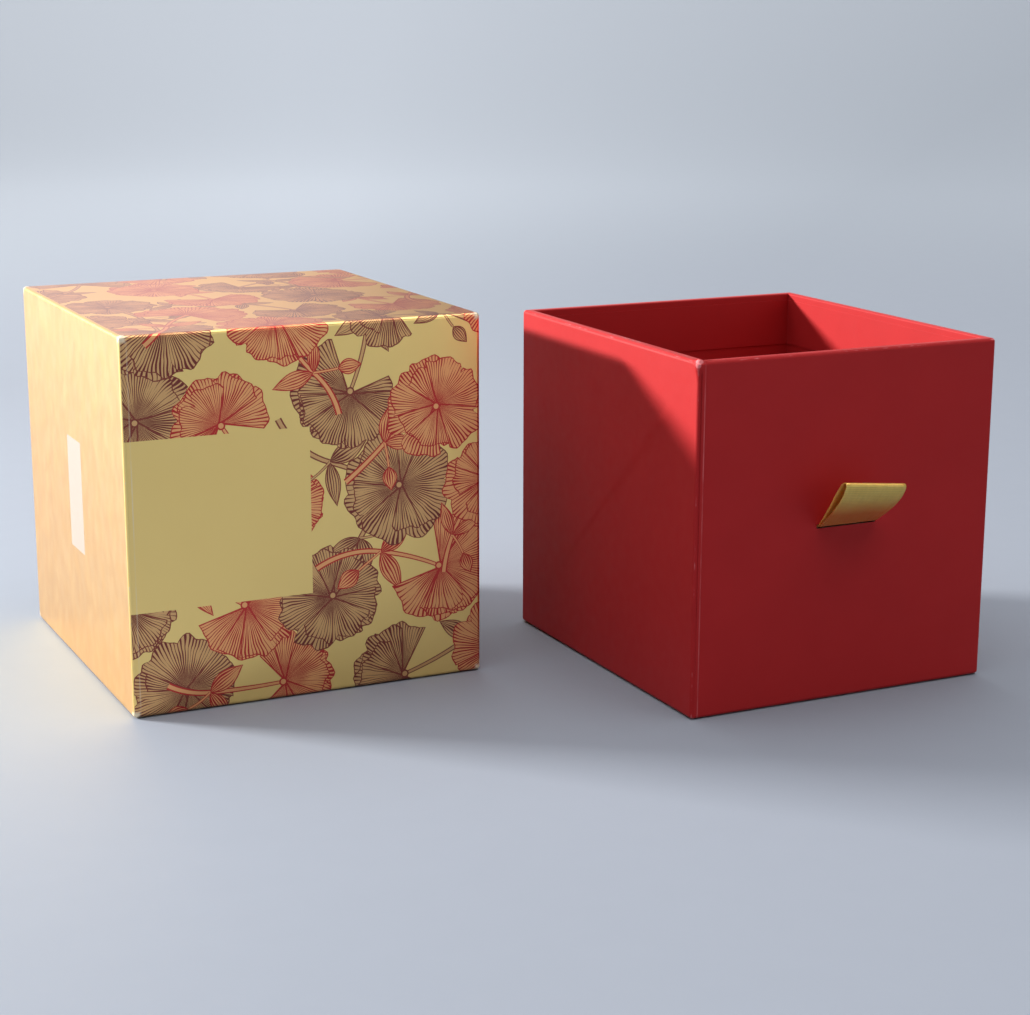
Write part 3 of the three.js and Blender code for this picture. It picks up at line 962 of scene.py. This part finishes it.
def red_wrap():
    """The sheet's outer face and its glued face, bridged at the base, round the slit and inside the rim."""
    above_base, above_slit = 1, drawer_middle.z + 10
    bm = red_skin(0)
    raise_ridge(bm)
    raise_knuckle(bm)
    cut_slit(bm, 1)
    glued = red_skin(paper)
    cut_slit(glued, -1)
    add_faces(bm, glued)
    for low, high in ((-above_base, above_base), (above_base, above_slit), (above_slit, drawer_high.z)):
        cut_edges = [edge for edge in bm.edges if edge.is_boundary and low < edge.verts[0].co.z < high]
        bmesh.ops.bridge_loops(bm, edges=cut_edges)
    return bm


red_fold_mark_depth = 0.7
red_corner_wear = 1.6
# The share of an even pale band along every fold of the red paper: a painted highlight.
red_fold_highlight_share = 0.35


def red_paper():
    """Red paper under a thin matt film: even, with a faint cloud in the colour and a very fine tooth."""
    material, tree, shader = new_finish("red_paper", Specular_IOR_Level=0.15, Sheen_Weight=0.1,
                                        Sheen_Roughness=0.3, Sheen_Tint=(1, 0.72, 0.75, 1))
    cloud = grain(tree, 70, detail=3)
    red = blended(tree, cloud, (0.355, 0.0115, 0.0130, 1), (0.40, 0.0140, 0.0155, 1))
    # The ridge's pale stretches are a painted highlight; the pale folds are wear in patches and at the
    # corners, with an even painted highlight band all along them.
    ridge = times(tree, painted_ridge_highlight(tree, drawer_low), 0.5)
    folds = worn_and_highlit_folds(tree, drawer_low, drawer_high, red_fold_mark_depth, red_corner_wear, red_fold_highlight_share)
    worn = calc(tree, "MAXIMUM", folds, ridge)
    tree.links.new(blended(tree, worn, red, (0.62, 0.16, 0.17, 1)), shader.inputs["Base Color"])
    tree.links.new(ranged(tree, grain(tree, 300, detail=3), 0.3, 0.7, 0.50, 0.58), shader.inputs["Roughness"])
    laid = raise_grain(tree, shader, grain(tree, 45, detail=2), 0.16 * MM)
    pressing = grain(tree, 320, detail=3, stretch=(1, 1, 0.45))
    pressed = raise_grain(tree, shader, pressing, 0.03 * MM, under=laid)
    raise_grain(tree, shader, grain(tree, 2200, detail=2), 0.006 * MM, under=pressed)
    return material


red = red_paper()
drawer_wrap = finish_wrap("drawer_red_wrap", red_wrap(), red, drawer_low, drawer_high, red_fold_radius)
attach(drawer_wrap, "drawer")
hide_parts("drawer_wrap")

# Drawer base sheet and linings. The same red paper is pasted under the base, round the inner walls over the
# turned-in margin, and on the floor. Behind the front board it stands off a little over the ribbon's ends.
dress(["drawer_base_sheet", "drawer_lining", "drawer_floor_lining"], red)

# Ribbon pull. A length of gold satin ribbon is folded once. Both ends go through the slit and are glued flat
# up and down the back of the front board. Outside it is an open loop, pressed to a crease at its tip.
ribbon_width = 18
ribbon_thickness = 0.35
loop_length = 18.2
loop_spread = 2.6
loop_lean = math.radians(46)
tail_length = 15
tail_bend = 0.45
tail_shares = (1, 0.7, 0.4, 0.15)
through_shares = (0.7, 0.45, 0.2, 0.05)
bend_back_share, bend_down_share = 0.15, 0.4
ply_share = 0.65
in_loop_start, in_loop_end = 24, 31
far_ply_start, far_ply_end = 35.5, 37
board_back = 2.35
loop_steps = 60
width_steps = 16
tip_drop = 0.9
tip_reach = 0.35
loop_shares = [
    (0, 0.07), (0.13, 0.21), (0.32, 0.43), (0.52, 0.57), (0.72, 0.58), (0.88, 0.41), (0.975, 0.12),
    (0.985, -0.2), (0.93, -0.46), (0.84, -0.54), (0.64, -0.44), (0.45, -0.28), (0.16, -0.12), (0, -0.07),
]

ribbon_root = Vector((drawer_low.y - ribbon_thickness, slit_level))
ribbon_along = Vector((-math.cos(loop_lean), math.sin(loop_lean)))
ribbon_aside = Vector((-math.sin(loop_lean), -math.cos(loop_lean)))


def smooth_curve(points, steps):
    """Even steps along a smooth curve through all the points."""
    places = []
    for step in range(steps + 1):
        at = step * (len(points) - 1) / steps
        index = min(int(at), len(points) - 2)
        t = at - index
        p0, p1 = points[max(index - 1, 0)], points[index]
        p2, p3 = points[index + 1], points[min(index + 2, len(points) - 1)]
        v0, v1 = (p2 - p0) / 2, (p3 - p1) / 2
        cubic, square = 2 * p1 - 2 * p2 + v0 + v1, 3 * p2 - 3 * p1 - 2 * v0 - v1
        places.append(cubic * t ** 3 + square * t ** 2 + v0 * t + p1)
    return places


def ribbon_line():
    """The middle of the ply in side view, as (y, z), from the lower tail round the loop to the upper tail."""
    half = ribbon_thickness / 2
    back = drawer_low.y + board_back + half
    loop = smooth_curve([ribbon_root + ribbon_along * a * loop_length + ribbon_aside * b * loop_spread
                         for a, b in loop_shares], loop_steps)
    lower = [Vector((back, slit_level - tail_length * share)) for share in tail_shares]
    bend_back, bend_down = bend_back_share * tail_bend, bend_down_share * tail_bend
    lower.append(Vector((back - bend_back, slit_level - half - bend_down)))
    lower.append(Vector((back - tail_bend, slit_level - half)))
    through = [drawer_low.y + board_back * share for share in through_shares]
    lower += [Vector((y, slit_level - half)) for y in through]
    upper = [Vector((p.x, 2 * slit_level - p.y)) for p in reversed(lower)]
    return lower + loop[1:-1] + upper


def ribbon():
    line = ribbon_line()
    left = drawer_middle.x - ribbon_width / 2
    bm = bmesh.new()
    weave = bm.loops.layers.uv.new("weave")
    chain = [bm.verts.new((left, p.x, p.y)) for p in line]
    edges = [bm.edges.new(pair) for pair in zip(chain, chain[1:])]
    for _ in range(width_steps):
        grown = bmesh.ops.extrude_edge_only(bm, edges=edges)["geom"]
        edges = [part for part in grown if isinstance(part, bmesh.types.BMEdge)]
        new_verts = [part for part in grown if isinstance(part, bmesh.types.BMVert)]
        bmesh.ops.translate(bm, vec=(ribbon_width / width_steps, 0, 0), verts=new_verts)
    bm.verts.index_update()
    lengths = [0]
    for here, after in zip(line, line[1:]):
        lengths.append(lengths[-1] + (after - here).length)
    run = {(round(p.x, 4), round(p.y, 4)): length for p, length in zip(line, lengths)}
    for face in bm.faces:
        for loop in face.loops:
            place = loop.vert.co
            loop[weave].uv = ((place.x - left) * MM, run[(round(place.y, 4), round(place.z, 4))] * MM)
    for vert in bm.verts:
        out = max(0, (Vector((vert.co.y, vert.co.z)) - ribbon_root).dot(ribbon_along)) / loop_length
        side = 2 * (vert.co.x - drawer_middle.x) / ribbon_width
        vert.co.y -= tip_reach * side * out
        vert.co.z -= tip_drop * side * out
    bmesh.ops.recalc_face_normals(bm, faces=bm.faces)
    bmesh.ops.solidify(bm, geom=bm.faces[:], thickness=ribbon_thickness * ply_share)
    bmesh.ops.scale(bm, vec=Vector((MM, MM, MM)), verts=bm.verts)
    return bm


def gold_satin():
    """Satin weave: fine warp threads along the ribbon, floated over a weft. Its colour is painted deeper and
    redder towards the slit, as painted shade with a painted reflection of the red front, and darker on the
    ply behind, as painted shade inside the loop."""
    material, tree, shader = new_finish("gold_satin", Metallic=0.5, Subsurface_Weight=0.6,
                                        Subsurface_Radius=(1, 0.6, 0.3), Subsurface_Scale=0.6 * MM)
    place = add(tree, "UVMap", uv_map="weave").outputs[0]
    threads = add(tree, "TexWave", {"Vector": place, "Scale": 1100, "Distortion": 0.6, "Detail": 1},
                  bands_direction="X").outputs["Fac"]
    floats = add(tree, "TexWave", {"Vector": place, "Scale": 520, "Distortion": 1.5, "Detail": 1},
                 bands_direction="Y").outputs["Fac"]
    drawn_out = add(tree, "Mapping", {"Vector": place, "Scale": (1, 0.15, 1)}).outputs[0]
    slub = add(tree, "TexNoise", {"Vector": drawn_out, "Scale": 1400, "Detail": 3}).outputs["Fac"]
    tone = blended(tree, slub, (0.72, 0.50, 0.12, 1), (0.92, 0.68, 0.20, 1))
    run = parts_of(tree, place)[1]
    # Painted shade and a painted reflection of the red front: deeper and redder towards the slit.
    in_loop = ranged(tree, run, in_loop_start * MM, in_loop_end * MM, 0, 1)
    tone = blended(tree, in_loop, (0.66, 0.24, 0.06, 1), tone)
    # Painted shade on the ply behind, inside the loop.
    far_ply = ranged(tree, run, far_ply_start * MM, far_ply_end * MM, 0, 1)
    tone = multiplied(tree, far_ply, tone, (1, 0.76, 0.58, 1))
    tree.links.new(multiplied(tree, floats, tone, (0.86, 0.84, 0.80, 1)), shader.inputs["Base Color"])
    tree.links.new(ranged(tree, slub, 0.3, 0.7, 0.34, 0.48), shader.inputs["Roughness"])
    under = raise_grain(tree, shader, floats, 0.02 * MM)
    raise_grain(tree, shader, threads, 0.015 * MM, under=under)
    return material


pull = new_piece("ribbon_pull", ribbon(), gold_satin())
pull.data.shade_smooth()
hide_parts("ribbon_loop", "ribbon_tails")
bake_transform(pull)
